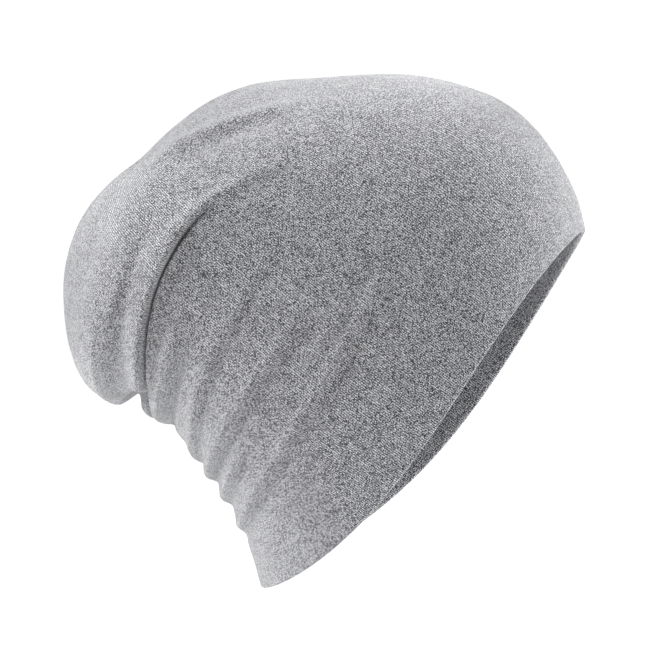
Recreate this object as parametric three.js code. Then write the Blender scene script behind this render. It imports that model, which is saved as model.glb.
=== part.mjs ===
// Slouchy beanie of fine jersey, held open as a head holds it.
// Millimetres, +Z up, +X the wearer's front, +Y the wearer's left.
// The origin is the centre of the head opening.
// The cloth is one hollow shell: a stack of closed loops from the brim to the tip of the pouch.
import * as THREE from "three";

// Driving sizes
const OPENING_LENGTH = 198;
const OPENING_WIDTH = 158;
const OPENING_LEAN_DEG = 48.36;
const WALL = 2.2;
const LOOP_POINTS = 60;
const CLOTH_COLOUR = 0xa9aaae;
const CLOTH_ROUGHNESS = 0.95;

// Each loop runs from a front point to a nape point, seen from the wearer's right.
// along: toward the brim front, crown: away from the opening, both as shares of OPENING_LENGTH.
// half: half of the loop's width as a share of OPENING_WIDTH.
// bow: how far the sides of the loop lie toward the crown, tilt: how much further toward the front,
// both as shares of OPENING_LENGTH.
// egg: how much narrower the front is than the nape, blunt: how broad both ends are.
// rings: how many mesh rings lead to the next row.
const SECTION_COLUMNS = [
  "name", "frontAlong", "frontCrown", "napeAlong", "napeCrown", "half", "bow", "tilt", "egg", "blunt", "rings",
];
const SECTIONS = [
  ["brim",         0.500,  0.000, -0.500,  0.000, 0.500, -0.069,  0.050, -0.03, 0.11, 2],
  ["brim_rise",    0.535,  0.052, -0.471,  0.043, 0.510, -0.061,  0.043, -0.01, 0.11, 2],
  ["forehead",     0.564,  0.122, -0.448,  0.083, 0.519, -0.050,  0.031,  0.01, 0.10, 2],
  ["hairline",     0.581,  0.189, -0.431,  0.117, 0.526, -0.033,  0.017,  0.03, 0.10, 3],
  ["temple",       0.586,  0.253, -0.418,  0.151, 0.531, -0.016,  0.002,  0.04, 0.09, 3],
  ["upper_head",   0.577,  0.315, -0.408,  0.186, 0.532,  0.004, -0.014,  0.05, 0.08, 3],
  ["crown_front",  0.556,  0.370, -0.398,  0.222, 0.528,  0.024, -0.031,  0.06, 0.08, 3],
  ["crown",        0.531,  0.420, -0.388,  0.262, 0.522,  0.043, -0.048,  0.06, 0.07, 3],
  ["crown_back",   0.502,  0.466, -0.379,  0.307, 0.516,  0.062, -0.064,  0.06, 0.06, 3],
  ["below_notch",  0.470,  0.506, -0.380,  0.358, 0.507,  0.079, -0.081,  0.06, 0.05, 3],
  ["notch",        0.435,  0.543, -0.386,  0.407, 0.501,  0.091, -0.088,  0.06, 0.05, 3],
  ["roll",         0.396,  0.581, -0.396,  0.434, 0.497,  0.087, -0.081,  0.06, 0.04, 3],
  ["roll_back",    0.352,  0.623, -0.414,  0.450, 0.490,  0.075, -0.070,  0.06, 0.04, 3],
  ["pouch_root",   0.306,  0.668, -0.425,  0.465, 0.480,  0.060, -0.058,  0.06, 0.03, 2],
  ["pouch_upper",  0.250,  0.713, -0.431,  0.481, 0.465,  0.046, -0.037,  0.06, 0.03, 2],
  ["pouch_mid",    0.177,  0.749, -0.434,  0.501, 0.443,  0.031, -0.023,  0.05, 0.02, 2],
  ["pouch_low",    0.089,  0.768, -0.436,  0.525, 0.408,  0.019, -0.010,  0.04, 0.02, 2],
  ["pouch_end",   -0.001,  0.776, -0.432,  0.551, 0.363,  0.008, -0.003,  0.03, 0.01, 1],
  ["tip_upper",   -0.081,  0.791, -0.424,  0.577, 0.307,  0.002,  0.000,  0.02, 0.00, 1],
  ["tip_outer",   -0.160,  0.791, -0.410,  0.603, 0.241,  0.000,  0.000,  0.00, 0.00, 1],
  ["tip_ring",    -0.236,  0.768, -0.388,  0.628, 0.165,  0.000,  0.000,  0.00, 0.00, 1],
  ["tip_inner",   -0.290,  0.735, -0.366,  0.656, 0.086,  0.000,  0.000,  0.00, 0.00, 1],
  ["tip",         -0.331,  0.697, -0.331,  0.697, 0.000,  0.000,  0.000,  0.00, 0.00, 0],
];

// Each fold is an arc in the side view, raised or sunk by its height.
// from and to: its ends, bow: how far it arches toward the pouch, width: its half width,
// height: up for a roll and down for a crease, all as shares of OPENING_LENGTH.
// skew: how much further the arch swells toward its end than toward its start, as a share of the bow.
// trough: depth of the valley on the brim side of the roll as a share of its height.
// far: share of the height on the wearer's left side.
// fadeFrom and fadeTo: share of the arc over which each end dies out.
const FOLD_COLUMNS = [
  "name", "fromAlong", "fromCrown", "toAlong", "toCrown", "bow", "skew", "width", "height", "trough",
  "far", "fadeFrom", "fadeTo",
];
const FOLDS = [
  ["deep_crease",  -0.440, 0.341,  0.165, 0.552,  0.084,  0.48, 0.017, -0.035, 0.0, 0.8, 0.20, 0.35],
  ["rolled_ridge", -0.430, 0.388,  0.307, 0.489,  0.129,  0.26, 0.015,  0.015, 0.0, 0.8, 0.22, 0.40],
  ["valley_low",   -0.400, 0.470,  0.060, 0.690,  0.000,  0.00, 0.016, -0.009, 0.0, 0.7, 0.25, 0.35],
  ["valley_top",   -0.030, 0.655,  0.300, 0.600,  0.045, -0.40, 0.016, -0.006, 0.0, 0.7, 0.35, 0.30],
  ["tip_valley",   -0.370, 0.515, -0.100, 0.670,  0.000,  0.00, 0.015, -0.003, 0.0, 0.5, 0.35, 0.35],
  ["upper_ridge",   0.020, 0.740,  0.375, 0.550,  0.025,  0.00, 0.012,  0.007, 0.0, 0.7, 0.20, 0.35],
  ["inner_lip",    -0.400, 0.372, -0.050, 0.512,  0.000,  0.00, 0.015,  0.008, 0.0, 0.8, 0.20, 0.50],
  ["inner_gutter", -0.390, 0.338, -0.080, 0.448,  0.000,  0.00, 0.017, -0.015, 0.0, 0.8, 0.25, 0.50],
  ["nape_fold_1",  -0.440, 0.238,  0.140, 0.416,  0.035,  0.00, 0.012,  0.007, 0.9, 0.8, 0.06, 0.50],
  ["nape_fold_2",  -0.460, 0.212,  0.160, 0.298,  0.010,  0.00, 0.012,  0.008, 0.9, 0.8, 0.06, 0.50],
  ["nape_fold_3",  -0.470, 0.160, -0.130, 0.211,  0.003,  0.00, 0.012,  0.007, 0.8, 0.8, 0.12, 0.60],
  ["nape_fold_4",  -0.470, 0.106,  0.350, 0.252, -0.020,  0.00, 0.012,  0.007, 0.9, 0.8, 0.06, 0.50],
  ["nape_fold_5",  -0.040, 0.224,  0.160, 0.228,  0.000,  0.00, 0.012,  0.004, 0.7, 0.5, 0.40, 0.40],
  ["side_dent_1",  -0.080, 0.246,  0.120, 0.244,  0.000,  0.00, 0.018, -0.003, 0.0, 0.5, 0.40, 0.40],
  ["side_dent_2",  -0.040, 0.137,  0.100, 0.141,  0.000,  0.00, 0.018, -0.003, 0.0, 0.5, 0.40, 0.40],
  ["side_dent_3",   0.120, 0.226,  0.290, 0.250,  0.000,  0.00, 0.018, -0.003, 0.0, 0.5, 0.40, 0.40],
  ["side_dent_4",   0.120, 0.157,  0.340, 0.198,  0.000,  0.00, 0.018, -0.003, 0.0, 0.5, 0.40, 0.40],
];

// Folds rise from the clean brim to their full height over this many rows of the section table.
const BRIM_CLEAR_ROWS = 1.6;
// A trough lies this many fold widths from the crest of its roll.
const TROUGH_OFFSET = 1.9;
// A fold reaches its share for the left side this far from the middle.
const FAR_BLEND = 45;
// On the inner face a crease is wider and shallower by these, as the cloth lies round it.
const CREASE_SPREAD = 1.6;
const CREASE_EASE = 0.8;
// Step in rows and in radians for the slopes of a surface.
const STEP = 0.01;

function tableRows(columns, rows) {
  return rows.map((row) => Object.fromEntries(columns.map((column, i) => [column, row[i]])));
}

const sections = tableRows(SECTION_COLUMNS, SECTIONS);
const folds = tableRows(FOLD_COLUMNS, FOLDS);
const lastRow = sections.length - 1;

const lean = THREE.MathUtils.degToRad(OPENING_LEAN_DEG);
const alongAxis = new THREE.Vector3(Math.cos(lean), 0, Math.sin(lean));
const crownAxis = new THREE.Vector3(-Math.sin(lean), 0, Math.cos(lean));

// Smooth curve through one column of the section table.
function columnAt(column, station) {
  const row = Math.min(Math.floor(station), lastRow - 1);
  const t = station - row;
  const at = (i) => sections[THREE.MathUtils.clamp(i, 0, lastRow)][column];
  const a = at(row - 1);
  const b = at(row);
  const c = at(row + 1);
  const d = at(row + 2);
  const slopeB = row === 0 ? c - b : (c - a) / 2;
  const slopeC = row === lastRow - 1 ? c - b : (d - b) / 2;
  const t2 = t * t;
  const t3 = t2 * t;
  return (2 * t3 - 3 * t2 + 1) * b + (t3 - 2 * t2 + t) * slopeB + (3 * t2 - 2 * t3) * c + (t3 - t2) * slopeC;
}

// Smooth cloth surface without folds, as along, across and crown in millimetres.
function smoothPoint(station, angle) {
  const front = [columnAt("frontAlong", station), columnAt("frontCrown", station)];
  const nape = [columnAt("napeAlong", station), columnAt("napeCrown", station)];
  const reach = [(front[0] - nape[0]) / 2, (front[1] - nape[1]) / 2];
  const size = Math.hypot(reach[0], reach[1]) || 1;
  const cos = Math.cos(angle);
  const sin = Math.sin(angle);
  const bow = sin * sin * (columnAt("bow", station) + columnAt("tilt", station) * cos);
  const along = (front[0] + nape[0]) / 2 + reach[0] * cos - (reach[1] / size) * bow;
  const crown = (front[1] + nape[1]) / 2 + reach[1] * cos + (reach[0] / size) * bow;
  const side = Math.sin(angle + columnAt("blunt", station) * Math.sin(2 * angle));
  const across = columnAt("half", station) * side * (1 - columnAt("egg", station) * cos);
  return new THREE.Vector3(along * OPENING_LENGTH, across * OPENING_WIDTH, crown * OPENING_LENGTH);
}

// Outward direction of a surface given as a function of station and angle.
function outward(surface, station, angle) {
  const s0 = Math.max(station - STEP, 0);
  const s1 = Math.min(station + STEP, lastRow - STEP);
  const rise = surface(s1, angle).sub(surface(s0, angle));
  const turn = surface(station, angle + STEP).sub(surface(station, angle - STEP));
  return turn.cross(rise).normalize();
}

function smoothStep(value) {
  const t = THREE.MathUtils.clamp(value, 0, 1);
  return t * t * (3 - 2 * t);
}

function bell(distance, width) {
  return Math.exp(-(distance * distance) / (width * width));
}

// Height of all folds at a point of the smooth surface, with creases widened by the spread.
function foldHeight(point, station, spread) {
  const along = point.x / OPENING_LENGTH;
  const crown = point.z / OPENING_LENGTH;
  let height = 0;
  for (const fold of folds) {
    const reach = [fold.toAlong - fold.fromAlong, fold.toCrown - fold.fromCrown];
    const length = Math.hypot(reach[0], reach[1]);
    const offset = [along - fold.fromAlong, crown - fold.fromCrown];
    const share = (offset[0] * reach[0] + offset[1] * reach[1]) / (length * length);
    if (share <= 0 || share >= 1) {
      continue;
    }
    const across = (offset[1] * reach[0] - offset[0] * reach[1]) / length;
    const arch = fold.bow * 4 * share * (1 - share) * (1 + fold.skew * (2 * share - 1));
    const distance = across - arch;
    const fadeIn = smoothStep(share / fold.fadeFrom);
    const fadeOut = smoothStep((1 - share) / fold.fadeTo);
    const side = THREE.MathUtils.lerp(1, fold.far, smoothStep(point.y / FAR_BLEND));
    const width = fold.width + (fold.height < 0 ? spread / OPENING_LENGTH : 0);
    const trough = fold.trough * bell(distance + TROUGH_OFFSET * fold.width, fold.width);
    height += fold.height * fadeIn * fadeOut * side * (bell(distance, width) - trough);
  }
  return height * OPENING_LENGTH * smoothStep(station / BRIM_CLEAR_ROWS);
}

function outerPoint(station, angle) {
  const point = smoothPoint(station, angle);
  const height = foldHeight(point, station, 0);
  return point.addScaledVector(outward(smoothPoint, station, angle), height);
}

function innerPoint(station, angle) {
  const point = smoothPoint(station, angle);
  const height = foldHeight(point, station, CREASE_SPREAD);
  const eased = height < 0 ? Math.min(height + CREASE_EASE, 0) : height;
  return point.addScaledVector(outward(smoothPoint, station, angle), eased - WALL);
}

// Folded edge of the brim: the ring halfway between the two faces, half a wall further out.
function brimEdgePoint(angle) {
  const outer = outerPoint(0, angle);
  const inner = innerPoint(0, angle);
  const rise = outerPoint(STEP, angle).sub(outer).normalize();
  return outer.add(inner).multiplyScalar(0.5).addScaledVector(rise, -WALL / 2);
}

function ringStations() {
  const stations = [];
  for (let row = 0; row < lastRow; row += 1) {
    for (let i = 0; i < sections[row].rings; i += 1) {
      stations.push(row + i / sections[row].rings);
    }
  }
  return stations;
}

// Point that closes a face of the cloth, set in from the tip of the pouch by a depth.
function tipPoint(depth) {
  const tip = smoothPoint(lastRow, 0);
  const before = smoothPoint(lastRow - 1, 0).add(smoothPoint(lastRow - 1, Math.PI)).multiplyScalar(0.5);
  const way = tip.clone().sub(before).normalize();
  return tip.addScaledVector(way, -depth);
}

function toRowFrame(point) {
  return new THREE.Vector3(0, point.y, 0)
    .addScaledVector(alongAxis, point.x)
    .addScaledVector(crownAxis, point.z);
}

function clothShell() {
  const angles = Array.from({ length: LOOP_POINTS }, (_, i) => (2 * Math.PI * i) / LOOP_POINTS);
  const stations = ringStations();
  const rings = [];
  for (const station of [...stations].reverse()) {
    rings.push(angles.map((angle) => innerPoint(station, angle)));
  }
  rings.push(angles.map((angle) => brimEdgePoint(angle)));
  for (const station of stations) {
    rings.push(angles.map((angle) => outerPoint(station, angle)));
  }
  const points = [tipPoint(WALL), ...rings.flat(), tipPoint(0)];
  const faces = [];
  const vertex = (ring, i) => 1 + ring * LOOP_POINTS + (i % LOOP_POINTS);
  for (let i = 0; i < LOOP_POINTS; i += 1) {
    faces.push(0, vertex(0, i + 1), vertex(0, i));
    faces.push(points.length - 1, vertex(rings.length - 1, i), vertex(rings.length - 1, i + 1));
    for (let ring = 0; ring < rings.length - 1; ring += 1) {
      const a = vertex(ring, i);
      const b = vertex(ring, i + 1);
      const c = vertex(ring + 1, i + 1);
      const d = vertex(ring + 1, i);
      faces.push(a, b, c, a, c, d);
    }
  }
  const geometry = new THREE.BufferGeometry();
  geometry.setAttribute("position", new THREE.Float32BufferAttribute(
    points.flatMap((point) => toRowFrame(point).toArray()),
    3,
  ));
  geometry.setIndex(faces);
  geometry.computeVertexNormals();
  return geometry;
}

const cloth = new THREE.MeshStandardMaterial({
  color: CLOTH_COLOUR,
  roughness: CLOTH_ROUGHNESS,
  metalness: 0,
});
const shell = new THREE.Mesh(clothShell(), cloth);
shell.name = "beanie_shell";

const beanie = new THREE.Group();
beanie.name = "slouchy_beanie";
beanie.add(shell);

export default beanie;
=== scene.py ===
"""Looks of a slouchy beanie of fine heather jersey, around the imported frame.

Metres, +Z up, +X the wearer's front, +Y the wearer's left.
The origin is the centre of the head opening.
The cloth is worked out in millimetres, as in the solid, and scaled at the end.
"""
import math

import bpy
import numpy as np
from mathutils import Matrix, Vector


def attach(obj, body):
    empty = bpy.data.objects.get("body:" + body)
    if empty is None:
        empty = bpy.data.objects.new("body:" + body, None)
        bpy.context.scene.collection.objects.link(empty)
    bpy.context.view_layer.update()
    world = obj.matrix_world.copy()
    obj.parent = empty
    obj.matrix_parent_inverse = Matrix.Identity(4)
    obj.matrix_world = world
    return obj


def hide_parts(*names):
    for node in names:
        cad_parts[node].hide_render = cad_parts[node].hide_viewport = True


MM = 0.001

# Driving sizes of the cloth, the same as those of the solid
OPENING_LENGTH = 198.0
OPENING_WIDTH = 158.0
OPENING_LEAN_DEG = 48.36
WALL = 2.2

# Mesh density: points round each loop, rings of each face for one ring of the section table,
# and rings of the folded edge
LOOP_POINTS = 320
OUTER_DENSITY = 4
INNER_DENSITY = 2
EDGE_RINGS = 5

# Each loop runs from a front point to a nape point, seen from the wearer's right.
# along: toward the brim front, crown: away from the opening, both as shares of OPENING_LENGTH.
# half: half of the loop's width as a share of OPENING_WIDTH.
# bow: how far the sides of the loop lie toward the crown, tilt: how much further toward the front,
# both as shares of OPENING_LENGTH.
# egg: how much narrower the front is than the nape, blunt: how broad both ends are.
# rings: how many mesh rings lead to the next row, before the density.
SECTION_COLUMNS = (
    "name", "front_along", "front_crown", "nape_along", "nape_crown", "half",
    "bow", "tilt", "egg", "blunt", "rings",
)
SECTIONS = (
    ("brim",         0.500,  0.000, -0.500,  0.000, 0.500, -0.069,  0.050, -0.03, 0.11, 2),
    ("brim_rise",    0.535,  0.052, -0.471,  0.043, 0.510, -0.061,  0.043, -0.01, 0.11, 2),
    ("forehead",     0.564,  0.122, -0.448,  0.083, 0.519, -0.050,  0.031,  0.01, 0.10, 2),
    ("hairline",     0.581,  0.189, -0.431,  0.117, 0.526, -0.033,  0.017,  0.03, 0.10, 3),
    ("temple",       0.586,  0.253, -0.418,  0.151, 0.531, -0.016,  0.002,  0.04, 0.09, 3),
    ("upper_head",   0.577,  0.315, -0.408,  0.186, 0.532,  0.004, -0.014,  0.05, 0.08, 3),
    ("crown_front",  0.556,  0.370, -0.398,  0.222, 0.528,  0.024, -0.031,  0.06, 0.08, 3),
    ("crown",        0.531,  0.420, -0.388,  0.262, 0.522,  0.043, -0.048,  0.06, 0.07, 3),
    ("crown_back",   0.502,  0.466, -0.379,  0.307, 0.516,  0.062, -0.064,  0.06, 0.06, 3),
    ("below_notch",  0.470,  0.506, -0.380,  0.358, 0.507,  0.079, -0.081,  0.06, 0.05, 3),
    ("notch",        0.435,  0.543, -0.386,  0.407, 0.501,  0.091, -0.088,  0.06, 0.05, 3),
    ("roll",         0.396,  0.581, -0.396,  0.434, 0.497,  0.087, -0.081,  0.06, 0.04, 3),
    ("roll_back",    0.352,  0.623, -0.414,  0.450, 0.490,  0.075, -0.070,  0.06, 0.04, 3),
    ("pouch_root",   0.306,  0.668, -0.425,  0.465, 0.480,  0.060, -0.058,  0.06, 0.03, 2),
    ("pouch_upper",  0.250,  0.713, -0.431,  0.481, 0.465,  0.046, -0.037,  0.06, 0.03, 2),
    ("pouch_mid",    0.177,  0.749, -0.434,  0.501, 0.443,  0.031, -0.023,  0.05, 0.02, 2),
    ("pouch_low",    0.089,  0.768, -0.436,  0.525, 0.408,  0.019, -0.010,  0.04, 0.02, 2),
    ("pouch_end",   -0.001,  0.776, -0.432,  0.551, 0.363,  0.008, -0.003,  0.03, 0.01, 1),
    ("tip_upper",   -0.081,  0.791, -0.424,  0.577, 0.307,  0.002,  0.000,  0.02, 0.00, 1),
    ("tip_outer",   -0.160,  0.791, -0.410,  0.603, 0.241,  0.000,  0.000,  0.00, 0.00, 1),
    ("tip_ring",    -0.236,  0.768, -0.388,  0.628, 0.165,  0.000,  0.000,  0.00, 0.00, 1),
    ("tip_inner",   -0.290,  0.735, -0.366,  0.656, 0.086,  0.000,  0.000,  0.00, 0.00, 1),
    ("tip",         -0.331,  0.697, -0.331,  0.697, 0.000,  0.000,  0.000,  0.00, 0.00, 0),
)

# Each fold is an arc in the side view, raised or sunk by its height.
# from and to: its ends, bow: how far it arches toward the pouch, width: its half width,
# height: up for a roll and down for a crease, all as shares of OPENING_LENGTH.
# skew: how much further the arch swells toward its end than toward its start, as a share of the bow.
# trough: depth of the valley on the brim side of the roll as a share of its height.
# far: share of the height on the wearer's left side.
# fade_from and fade_to: share of the arc over which each end dies out.
FOLD_COLUMNS = (
    "name", "from_along", "from_crown", "to_along", "to_crown", "bow", "skew", "width", "height", "trough",
    "far", "fade_from", "fade_to",
)
FOLDS = (
    ("deep_crease",  -0.440, 0.341,  0.165, 0.552,  0.084,  0.48, 0.007, -0.042, 0.0, 0.8, 0.24, 0.35),
    ("notch_pocket", -0.290, 0.436, -0.450, 0.449,  0.000,  0.00, 0.011, -0.034, 0.0, 0.5, 0.25, 0.05),
    ("crease_lip",   -0.444, 0.352,  0.161, 0.563,  0.084,  0.48, 0.022,  0.024, 0.0, 0.8, 0.32, 0.35),
    ("rolled_ridge", -0.430, 0.388,  0.307, 0.489,  0.129,  0.26, 0.015,  0.008, 0.0, 0.8, 0.80, 0.30),
    ("valley_low",   -0.400, 0.470,  0.060, 0.690,  0.000,  0.00, 0.016, -0.006, 0.0, 0.7, 0.25, 0.35),
    ("valley_top",   -0.030, 0.655,  0.300, 0.600,  0.045, -0.40, 0.016, -0.006, 0.0, 0.7, 0.35, 0.30),
    ("tip_valley",   -0.370, 0.515, -0.100, 0.670,  0.000,  0.00, 0.015, -0.003, 0.0, 0.5, 0.35, 0.35),
    ("upper_ridge",   0.020, 0.740,  0.375, 0.550,  0.025,  0.00, 0.012,  0.010, 0.0, 0.7, 0.20, 0.35),
    ("inner_lip",    -0.395, 0.358, -0.045, 0.498,  0.000,  0.00, 0.020,  0.014, 0.0, 0.8, 0.20, 0.45),
    ("inner_gutter", -0.410, 0.335, -0.100, 0.445,  0.000,  0.00, 0.014, -0.018, 0.0, 0.8, 0.25, 0.50),
    ("nape_fold_1",  -0.440, 0.238,  0.140, 0.416,  0.035,  0.00, 0.012,  0.007, 0.9, 0.8, 0.06, 0.38),
    ("nape_fold_2",  -0.460, 0.212,  0.160, 0.298,  0.010,  0.00, 0.012,  0.008, 0.9, 0.8, 0.06, 0.38),
    ("nape_fold_3",  -0.470, 0.160, -0.130, 0.211,  0.003,  0.00, 0.012,  0.007, 0.8, 0.8, 0.12, 0.60),
    ("nape_fold_4",  -0.470, 0.106,  0.350, 0.252, -0.020,  0.00, 0.012,  0.007, 0.9, 0.8, 0.06, 0.38),
    ("nape_fold_5",  -0.040, 0.224,  0.160, 0.228,  0.000,  0.00, 0.012,  0.004, 0.7, 0.5, 0.40, 0.40),
    ("side_dent_1",  -0.080, 0.246,  0.120, 0.244,  0.000,  0.00, 0.018, -0.003, 0.0, 0.5, 0.40, 0.40),
    ("side_dent_2",  -0.040, 0.137,  0.100, 0.141,  0.000,  0.00, 0.018, -0.003, 0.0, 0.5, 0.40, 0.40),
    ("side_dent_3",   0.120, 0.226,  0.290, 0.250,  0.000,  0.00, 0.018, -0.003, 0.0, 0.5, 0.40, 0.40),
    ("side_dent_4",   0.120, 0.157,  0.340, 0.198,  0.000,  0.00, 0.018, -0.003, 0.0, 0.5, 0.40, 0.40),
)

# Folds rise from the clean brim to their full height over this many rows of the section table.
BRIM_CLEAR_ROWS = 1.6
# A trough lies this many fold widths from the crest of its roll.
TROUGH_OFFSET = 1.9
# A fold reaches its share for the left side this far from the middle.
FAR_BLEND = 45.0
# On the inner face a crease is wider and shallower by these, as the cloth lies round it.
CREASE_SPREAD = 3.0
CREASE_EASE = 0.8
# Step in rows and in radians for the slopes of a surface.
STEP = 0.01
# A length is taken as at least this before anything is divided by it.
LEAST_LENGTH = 1e-12

# The lip of the roll leans over the deep crease: how far, over what width, and how far behind
# the middle of the crease it leans most.
ROLL_OVER = 3.0
ROLL_WIDTH = 3.0
ROLL_OFFSET = 2.4

# The knit: distance between wales and between courses, in millimetres,
# and how far the wales slouch toward the nape for each millimetre toward the crown
WALE_PITCH = 0.92
COURSE_PITCH = 0.85
WALE_SLOUCH = 0.10

LAST_ROW = len(SECTIONS) - 1


def table_column(columns, rows, name):
    place = columns.index(name)
    return np.array([row[place] for row in rows], dtype=float)


def table_rows(columns, rows):
    return [dict(zip(columns, row)) for row in rows]


SECTION = {name: table_column(SECTION_COLUMNS, SECTIONS, name) for name in SECTION_COLUMNS[1:]}
FOLD = {row["name"]: row for row in table_rows(FOLD_COLUMNS, FOLDS)}


def column_at(name, station):
    """Smooth curve through one column of the section table."""
    values = SECTION[name]
    row = np.minimum(np.floor(station), LAST_ROW - 1).astype(int)
    t = station - row
    a = values[np.maximum(row - 1, 0)]
    b = values[row]
    c = values[row + 1]
    d = values[np.minimum(row + 2, LAST_ROW)]
    slope_b = np.where(row == 0, c - b, (c - a) / 2)
    slope_c = np.where(row == LAST_ROW - 1, c - b, (d - b) / 2)
    t2 = t * t
    t3 = t2 * t
    return (
        (2 * t3 - 3 * t2 + 1) * b
        + (t3 - 2 * t2 + t) * slope_b
        + (3 * t2 - 2 * t3) * c
        + (t3 - t2) * slope_c
    )


def smooth_point(station, angle):
    """Cloth without folds, as along, across and crown in millimetres."""
    names = ("front_along", "front_crown", "nape_along", "nape_crown")
    front_along, front_crown, nape_along, nape_crown = (column_at(name, station) for name in names)
    reach_along = (front_along - nape_along) / 2
    reach_crown = (front_crown - nape_crown) / 2
    size = np.maximum(np.hypot(reach_along, reach_crown), LEAST_LENGTH)
    cos = np.cos(angle)
    sin = np.sin(angle)
    bow = sin * sin * (column_at("bow", station) + column_at("tilt", station) * cos)
    along = (front_along + nape_along) / 2 + reach_along * cos - reach_crown / size * bow
    crown = (front_crown + nape_crown) / 2 + reach_crown * cos + reach_along / size * bow
    side = np.sin(angle + column_at("blunt", station) * np.sin(2 * angle))
    across = column_at("half", station) * side * (1 - column_at("egg", station) * cos)
    return np.stack([along * OPENING_LENGTH, across * OPENING_WIDTH, crown * OPENING_LENGTH], -1)


def unit(vectors):
    return vectors / np.maximum(np.linalg.norm(vectors, axis=-1, keepdims=True), LEAST_LENGTH)


def outward(surface, station, angle):
    """Outward direction of a surface given as a function of station and angle."""
    before = np.maximum(station - STEP, 0)
    after = np.minimum(station + STEP, LAST_ROW - STEP)
    rise = surface(after, angle) - surface(before, angle)
    turn = surface(station, angle + STEP) - surface(station, angle - STEP)
    return unit(np.cross(turn, rise))


def smooth_step(value):
    t = np.clip(value, 0, 1)
    return t * t * (3 - 2 * t)


def bell(distance, width):
    return np.exp(-((distance / width) ** 2))


def fold_frame(fold, point):
    """Share of the way along a fold's arc, distance from its crest line and strength there."""
    along = point[..., 0] / OPENING_LENGTH
    crown = point[..., 2] / OPENING_LENGTH
    reach_along = fold["to_along"] - fold["from_along"]
    reach_crown = fold["to_crown"] - fold["from_crown"]
    length = math.hypot(reach_along, reach_crown)
    offset_along = along - fold["from_along"]
    offset_crown = crown - fold["from_crown"]
    share = (offset_along * reach_along + offset_crown * reach_crown) / length ** 2
    across = (offset_crown * reach_along - offset_along * reach_crown) / length
    skewed = 1 + fold["skew"] * (2 * share - 1)
    distance = across - fold["bow"] * 4 * share * (1 - share) * skewed
    fade_in = smooth_step(share / fold["fade_from"])
    fade_out = smooth_step((1 - share) / fold["fade_to"])
    side = 1 + (fold["far"] - 1) * smooth_step(point[..., 1] / FAR_BLEND)
    strength = np.where((share > 0) & (share < 1), fade_in * fade_out * side, 0)
    slope = fold["bow"] * 4 * ((1 - 2 * share) * skewed + share * (1 - share) * 2 * fold["skew"]) / length
    lean = np.stack([
        (-reach_crown - slope * reach_along) / length,
        np.zeros(share.shape),
        (reach_along - slope * reach_crown) / length,
    ], -1)
    return distance, strength, unit(lean)


def fold_height(point, station, spread):
    """Height of all folds at a point of the smooth surface, with creases widened by the spread."""
    height = np.zeros(point.shape[:-1])
    for fold in FOLD.values():
        distance, strength, _ = fold_frame(fold, point)
        width = fold["width"] + (spread / OPENING_LENGTH if fold["height"] < 0 else 0)
        trough = fold["trough"] * bell(distance + TROUGH_OFFSET * fold["width"], fold["width"])
        height += fold["height"] * strength * (bell(distance, width) - trough)
    return height * OPENING_LENGTH * smooth_step(station / BRIM_CLEAR_ROWS)


def roll_over(point, normal):
    """Sideways shift of the lip of the roll over the deep crease."""
    distance, strength, lean = fold_frame(FOLD["deep_crease"], point)
    reach = ROLL_OVER * strength * bell(distance * OPENING_LENGTH - ROLL_OFFSET, ROLL_WIDTH)
    shift = -lean * reach[..., None]
    return shift - normal * np.sum(shift * normal, axis=-1, keepdims=True)


def outer_point(station, angle):
    point = smooth_point(station, angle)
    normal = outward(smooth_point, station, angle)
    height = fold_height(point, station, 0)
    return point + normal * height[..., None] + roll_over(point, normal)


def inner_point(station, angle):
    point = smooth_point(station, angle)
    normal = outward(smooth_point, station, angle)
    height = fold_height(point, station, CREASE_SPREAD)
    eased = np.where(height < 0, np.minimum(height + CREASE_EASE, 0), height)
    return point + normal * (eased - WALL)[..., None]


def ring_stations(density):
    stations = []
    for row in range(LAST_ROW):
        count = int(SECTION["rings"][row]) * density
        stations += [row + i / count for i in range(count)]
    return np.array(stations)


def brim_edge(angles):
    """Rings of the folded edge, from the inner face round to the outer face."""
    start = np.zeros(angles.shape)
    outer = outer_point(start, angles)
    inner = inner_point(start, angles)
    rise = unit(outer_point(start + STEP, angles) - outer)
    middle = (outer + inner) / 2
    half = (outer - inner) / 2
    depth = np.linalg.norm(half, axis=-1, keepdims=True)
    rings = []
    for i in range(1, EDGE_RINGS + 1):
        turn = math.pi * i / (EDGE_RINGS + 1)
        rings.append(middle - half * math.cos(turn) - rise * depth * math.sin(turn))
    return rings


def tip_point(depth):
    """Point that closes a face of the cloth, set in from the tip of the pouch by a depth."""
    tip = smooth_point(np.array(float(LAST_ROW)), np.array(0.0))
    row = np.array(float(LAST_ROW - 1))
    before = (smooth_point(row, np.array(0.0)) + smooth_point(row, np.array(math.pi))) / 2
    return tip - unit(tip - before) * depth


def to_part_frame(point):
    """Metres in the part's own frame, from along, across and crown in millimetres."""
    lean = math.radians(OPENING_LEAN_DEG)
    along_axis = np.array([math.cos(lean), 0, math.sin(lean)])
    crown_axis = np.array([-math.sin(lean), 0, math.cos(lean)])
    across_axis = np.array([0, 1.0, 0])
    placed = point[..., :1] * along_axis + point[..., 1:2] * across_axis + point[..., 2:] * crown_axis
    return placed * MM


def cloth_rings():
    """All rings of the shell from the inner tip round the brim to the outer tip."""
    angles = 2 * math.pi * np.arange(LOOP_POINTS) / LOOP_POINTS
    inner_stations, inner_angles = np.meshgrid(ring_stations(INNER_DENSITY)[::-1], angles, indexing="ij")
    outer_stations, outer_angles = np.meshgrid(ring_stations(OUTER_DENSITY), angles, indexing="ij")
    rings = list(inner_point(inner_stations, inner_angles))
    rings += brim_edge(angles)
    rings += list(outer_point(outer_stations, outer_angles))
    return np.array(rings)


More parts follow.
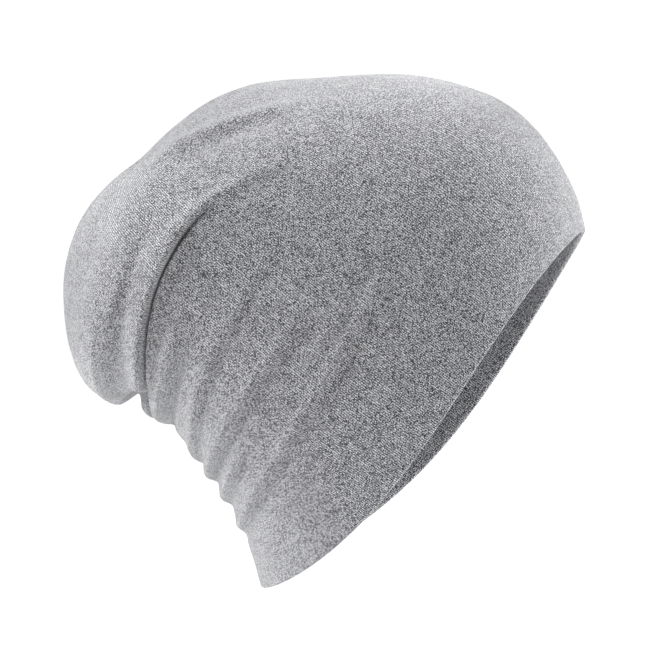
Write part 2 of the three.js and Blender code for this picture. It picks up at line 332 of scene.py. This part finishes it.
def cloth_faces(ring_count):
    """Triangles at both tips and quads between the rings."""
    faces = []
    top = 1 + ring_count * LOOP_POINTS
    last = ring_count - 1
    for i in range(LOOP_POINTS):
        j = (i + 1) % LOOP_POINTS
        faces.append((0, 1 + j, 1 + i))
        faces.append((top, 1 + last * LOOP_POINTS + i, 1 + last * LOOP_POINTS + j))
    for ring in range(last):
        low = 1 + ring * LOOP_POINTS
        high = low + LOOP_POINTS
        for i in range(LOOP_POINTS):
            j = (i + 1) % LOOP_POINTS
            faces.append((low + i, low + j, high + j, high + i))
    return faces


def weave_places(points):
    """Place in the knit of each point: wales from the middle of its side, millimetres along them.

    The wales run from the brim toward the crown, side by side on the flanks and fanned at both ends.
    In the middle of a flank round_side is the distance along it, and at the ends it is the turn alone.
    """
    along = points[..., 0] + WALE_SLOUCH * points[..., 2]
    across = np.abs(points[..., 1])
    crown = points[..., 2]
    radius = np.hypot(along, across)
    turn = np.arctan2(along, across)
    brim_radius = OPENING_LENGTH / 2
    round_side = brim_radius * turn + (radius - brim_radius) * np.sin(turn) * np.cos(turn) ** 2
    up_wale = np.hypot(across, crown) * np.arctan2(crown, across)
    return np.stack([round_side / WALE_PITCH, up_wale], -1)


def add_weave_map(mesh, points):
    """Map of the knit on the corners of the faces."""
    layer = mesh.uv_layers.new(name="weave")
    corner_vertex = np.empty(len(mesh.loops), dtype=np.int64)
    mesh.loops.foreach_get("vertex_index", corner_vertex)
    places = weave_places(points)[corner_vertex]
    layer.data.foreach_set("uv", places.astype(np.float32).reshape(-1))


def jersey_shell():
    """The whole cap: both faces of the cloth, its folded edge and both tips in one closed mesh."""
    rings = cloth_rings()
    points = np.concatenate([
        tip_point(WALL)[None],
        rings.reshape(-1, 3),
        tip_point(0)[None],
    ])
    mesh = bpy.data.meshes.new("jersey_shell")
    mesh.from_pydata(to_part_frame(points).tolist(), [], cloth_faces(len(rings)))
    mesh.update()
    add_weave_map(mesh, points)
    mesh.polygons.foreach_set("use_smooth", np.ones(len(mesh.polygons), dtype=bool))
    shell = bpy.data.objects.new("jersey_shell", mesh)
    bpy.context.scene.collection.objects.link(shell)
    return shell


class Nodes:
    """Small helper that adds and links shader nodes."""

    def __init__(self, tree):
        self.tree = tree

    def add(self, kind, **settings):
        node = self.tree.nodes.new(kind)
        for name, value in settings.items():
            setattr(node, name, value)
        return node

    def feed(self, socket, value):
        if isinstance(value, bpy.types.NodeSocket):
            self.tree.links.new(value, socket)
        else:
            socket.default_value = value

    def math(self, operation, *values):
        node = self.add("ShaderNodeMath", operation=operation)
        for socket, value in zip(node.inputs, values):
            self.feed(socket, value)
        return node.outputs[0]

    def noise(self, vector, scale, detail, roughness):
        node = self.add("ShaderNodeTexNoise", noise_dimensions="3D")
        self.feed(node.inputs["Vector"], vector)
        self.feed(node.inputs["Scale"], scale)
        self.feed(node.inputs["Detail"], detail)
        self.feed(node.inputs["Roughness"], roughness)
        return node.outputs["Fac"]

    def smooth_range(self, value, start, end, low=0.0, high=1.0):
        node = self.add("ShaderNodeMapRange", interpolation_type="SMOOTHSTEP")
        self.feed(node.inputs["Value"], value)
        self.feed(node.inputs["From Min"], start)
        self.feed(node.inputs["From Max"], end)
        self.feed(node.inputs["To Min"], low)
        self.feed(node.inputs["To Max"], high)
        return node.outputs["Result"]

    def mix_colour(self, share, first, second):
        node = self.add("ShaderNodeMix", data_type="RGBA")
        self.feed(node.inputs["Factor"], share)
        self.feed(node.inputs["A"], first)
        self.feed(node.inputs["B"], second)
        return node.outputs["Result"]


# Relief of the knit from 0 to 1: shares of the rounded wales and of the stitches on them
RIB_SHARE = 0.80
STITCH_SHARE = 0.20


def knit_height(nodes, wale, along):
    """Rounded wales with slanted stitches on both of their flanks, from 0 to 1."""
    place = nodes.math("FRACT", wale)
    from_middle = nodes.math("ABSOLUTE", nodes.math("SUBTRACT", place, 0.5))
    rib = nodes.math("COSINE", nodes.math("MULTIPLY", from_middle, math.pi))
    course = nodes.math("DIVIDE", along, COURSE_PITCH)
    slant = nodes.math("ADD", course, from_middle)
    stitch = nodes.math("SINE", nodes.math("MULTIPLY", slant, 2 * math.pi))
    grain = nodes.math("MULTIPLY", nodes.math("ADD", stitch, 1.0), STITCH_SHARE / 2)
    return nodes.math("ADD", nodes.math("MULTIPLY", rib, RIB_SHARE), grain)


# Noise for each metre of cloth: dark and light fibres, soft clouds of them, and fuzz
SPECK_SCALE = 2100.0
MOTTLE_SCALE = 160.0
FIBRE_SCALE = 2500.0
# Mean of a noise, and how much the clouds shift the noise of the fibres
NOISE_MEAN = 0.5
MOTTLE_SHARE = 0.09
# Below the first level a fibre is fully dark, above the second it is fully light.
DARK_LEVEL = 0.38
LIGHT_LEVEL = 0.62
DARK_FIBRE = (0.045, 0.047, 0.053, 1)
LIGHT_FIBRE = (0.69, 0.695, 0.725, 1)
# Painted shade in the grooves between the wales: its near-black colour, and how much of it shows at their
# bottom
GROOVE_PAINTED_SHADE = (0.03, 0.03, 0.034, 1)
GROOVE_SHADE_SHARE = 0.96
# Bump: height of the fuzz as a share of the knit's, strength, and depth in metres
FUZZ_SHARE = 0.5
BUMP_STRENGTH = 0.6
BUMP_DEPTH = 0.00025
JERSEY_SURFACE = {
    "Roughness": 0.92,
    "Specular IOR Level": 0.2,
    "Sheen Weight": 0.42,
    "Sheen Roughness": 0.45,
}


def fibre_colour(nodes, place):
    """Dark and light fibres in soft clouds."""
    speck = nodes.noise(place, SPECK_SCALE, detail=1.0, roughness=0.5)
    mottle = nodes.noise(place, MOTTLE_SCALE, detail=2.0, roughness=0.5)
    cloud = nodes.math("MULTIPLY", nodes.math("SUBTRACT", mottle, NOISE_MEAN), MOTTLE_SHARE)
    light = nodes.smooth_range(nodes.math("ADD", speck, cloud), DARK_LEVEL, LIGHT_LEVEL)
    return nodes.mix_colour(light, DARK_FIBRE, LIGHT_FIBRE)


def heather_jersey():
    material = bpy.data.materials.new("heather_jersey")
    material.use_nodes = True
    tree = material.node_tree
    nodes = Nodes(tree)
    shader = tree.nodes["Principled BSDF"]
    weave = nodes.add("ShaderNodeUVMap", uv_map="weave").outputs["UV"]
    split = nodes.add("ShaderNodeSeparateXYZ")
    nodes.feed(split.inputs[0], weave)
    place = nodes.add("ShaderNodeTexCoord").outputs["Object"]

    height = knit_height(nodes, split.outputs["X"], split.outputs["Y"])
    # The grooves between the wales get a painted shade, darkest where the knit is lowest.
    between = nodes.math("SUBTRACT", 1.0, height)
    groove_shade = nodes.math("MULTIPLY", between, GROOVE_SHADE_SHARE)
    shade = nodes.mix_colour(groove_shade, fibre_colour(nodes, place), GROOVE_PAINTED_SHADE)
    nodes.feed(shader.inputs["Base Color"], shade)

    fuzz = nodes.noise(place, FIBRE_SCALE, detail=2.0, roughness=0.7)
    relief = nodes.math("ADD", height, nodes.math("MULTIPLY", fuzz, FUZZ_SHARE))
    bump = nodes.add("ShaderNodeBump")
    nodes.feed(bump.inputs["Strength"], BUMP_STRENGTH)
    nodes.feed(bump.inputs["Distance"], BUMP_DEPTH)
    nodes.feed(bump.inputs["Height"], relief)
    nodes.feed(shader.inputs["Normal"], bump.outputs["Normal"])
    for name, value in JERSEY_SURFACE.items():
        nodes.feed(shader.inputs[name], value)
    return material


WHITE = (1, 1, 1, 1)
# The studio's floor: how far it lies under the middle of the opening, its size, and its white
FLOOR_DROP = 0.42
FLOOR_RADIUS = 20.0
FLOOR_POINTS = 64
FLOOR_COLOUR = (0.85, 0.85, 0.85, 1)
FLOOR_ROUGHNESS = 0.9
# Glow of the white floor under the cap and far from it, and the distances between which it changes
GLOW_NEAR = 0.41
GLOW_FAR = 0.76
GLOW_START = 1.5
GLOW_FULL = 2.5
# Brightness of the room before the wearer's right side, where the camera stands, and behind,
# and the Y of a direction where it starts to change and where it ends
WORLD_FRONT = 0.10
WORLD_BACK = 0.40
WORLD_START = -1.0
WORLD_END = 0.2


def studio_white():
    """White that glows a little, more so far from the middle of the floor."""
    material = bpy.data.materials.new("studio_white")
    material.use_nodes = True
    nodes = Nodes(material.node_tree)
    shader = material.node_tree.nodes["Principled BSDF"]
    nodes.feed(shader.inputs["Base Color"], FLOOR_COLOUR)
    nodes.feed(shader.inputs["Roughness"], FLOOR_ROUGHNESS)
    nodes.feed(shader.inputs["Emission Color"], WHITE)
    distance = nodes.add("ShaderNodeVectorMath", operation="LENGTH")
    nodes.feed(distance.inputs[0], nodes.add("ShaderNodeTexCoord").outputs["Object"])
    glow = nodes.smooth_range(distance.outputs["Value"], GLOW_START, GLOW_FULL, GLOW_NEAR, GLOW_FAR)
    nodes.feed(shader.inputs["Emission Strength"], glow)
    return material


def studio_floor():
    mesh = bpy.data.meshes.new("studio_floor")
    turns = [2 * math.pi * i / FLOOR_POINTS for i in range(FLOOR_POINTS)]
    points = [(FLOOR_RADIUS * math.cos(turn), FLOOR_RADIUS * math.sin(turn), -FLOOR_DROP) for turn in turns]
    mesh.from_pydata(points, [], [list(range(FLOOR_POINTS))])
    floor = bpy.data.objects.new("studio_floor", mesh)
    bpy.context.scene.collection.objects.link(floor)
    mesh.materials.append(studio_white())


def studio_world():
    world = bpy.data.worlds.new("studio_world")
    world.use_nodes = True
    nodes = Nodes(world.node_tree)
    background = world.node_tree.nodes["Background"]
    split = nodes.add("ShaderNodeSeparateXYZ")
    nodes.feed(split.inputs[0], nodes.add("ShaderNodeTexCoord").outputs["Generated"])
    glow = nodes.smooth_range(split.outputs["Y"], WORLD_START, WORLD_END, WORLD_FRONT, WORLD_BACK)
    nodes.feed(background.inputs["Color"], WHITE)
    nodes.feed(background.inputs["Strength"], glow)
    bpy.context.scene.world = world


# Square lamps that all face the middle of the opening: place, side in metres and power in watts
LIGHT_COLUMNS = ("name", "x", "y", "z", "size", "power")
LIGHTS = (
    ("side_left",  -1.4, -0.30, 0.75, 0.7, 19.4),
    ("front_left", -1.1, -0.90, 0.90, 0.7,  7.4),
    ("side_right",  1.3,  0.25, 0.45, 1.0, 17.8),
    ("top_back",    0.0,  0.90, 1.30, 1.2, 12.0),
    ("top",         0.0,  0.10, 1.60, 1.0, 18.2),
)


def studio_lights():
    for row in table_rows(LIGHT_COLUMNS, LIGHTS):
        lamp = bpy.data.lights.new(row["name"], "AREA")
        lamp.size = row["size"]
        lamp.energy = row["power"]
        light = bpy.data.objects.new(row["name"], lamp)
        light.location = (row["x"], row["y"], row["z"])
        aim = Vector((0, 0, 0)) - light.location
        light.rotation_euler = aim.to_track_quat("-Z", "Y").to_euler()
        bpy.context.scene.collection.objects.link(light)


# Camera: azimuth toward the wearer's front, height above the horizon, distance from its target,
# and the width of cloth that the picture takes in at that distance
CAMERA_AZIMUTH_DEG = 10.1
CAMERA_ELEVATION_DEG = 6.4
CAMERA_DISTANCE = 2.2
VIEW_WIDTH = 0.2665
# Middle of the picture from the middle of the opening, to the camera's right and up
VIEW_RIGHT = -0.0396
VIEW_UP = 0.0334
# Width of the camera's sensor in millimetres, and the nearest and farthest that it sees
SENSOR_WIDTH = 36.0
CLIP_NEAR = 0.05
CLIP_FAR = 100.0


def add_camera():
    azimuth = math.radians(CAMERA_AZIMUTH_DEG)
    elevation = math.radians(CAMERA_ELEVATION_DEG)
    back = Vector((
        math.sin(azimuth) * math.cos(elevation),
        -math.cos(azimuth) * math.cos(elevation),
        math.sin(elevation),
    ))
    right = Vector((math.cos(azimuth), math.sin(azimuth), 0))
    up = back.cross(right)
    target = right * VIEW_RIGHT + up * VIEW_UP
    lens = bpy.data.cameras.new("camera")
    lens.sensor_width = SENSOR_WIDTH
    lens.lens = SENSOR_WIDTH * CAMERA_DISTANCE / VIEW_WIDTH
    lens.clip_start = CLIP_NEAR
    lens.clip_end = CLIP_FAR
    camera = bpy.data.objects.new("camera", lens)
    turn = Matrix((right, up, back)).transposed()
    camera.matrix_world = Matrix.Translation(target + back * CAMERA_DISTANCE) @ turn.to_4x4()
    bpy.context.scene.collection.objects.link(camera)
    bpy.context.scene.camera = camera


def plain_view():
    bpy.context.scene.view_settings.view_transform = "Standard"
    bpy.context.scene.view_settings.look = "None"


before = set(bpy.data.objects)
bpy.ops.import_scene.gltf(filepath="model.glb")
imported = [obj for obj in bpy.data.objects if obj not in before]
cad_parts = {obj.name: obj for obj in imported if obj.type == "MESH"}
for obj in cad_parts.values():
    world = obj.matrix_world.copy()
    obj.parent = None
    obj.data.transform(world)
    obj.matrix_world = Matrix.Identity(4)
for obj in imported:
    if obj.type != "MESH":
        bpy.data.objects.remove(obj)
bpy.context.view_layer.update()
add_camera()
plain_view()
studio_world()
studio_lights()
studio_floor()
shell = jersey_shell()
shell.data.materials.append(heather_jersey())
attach(shell, "root")
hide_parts("beanie_shell")
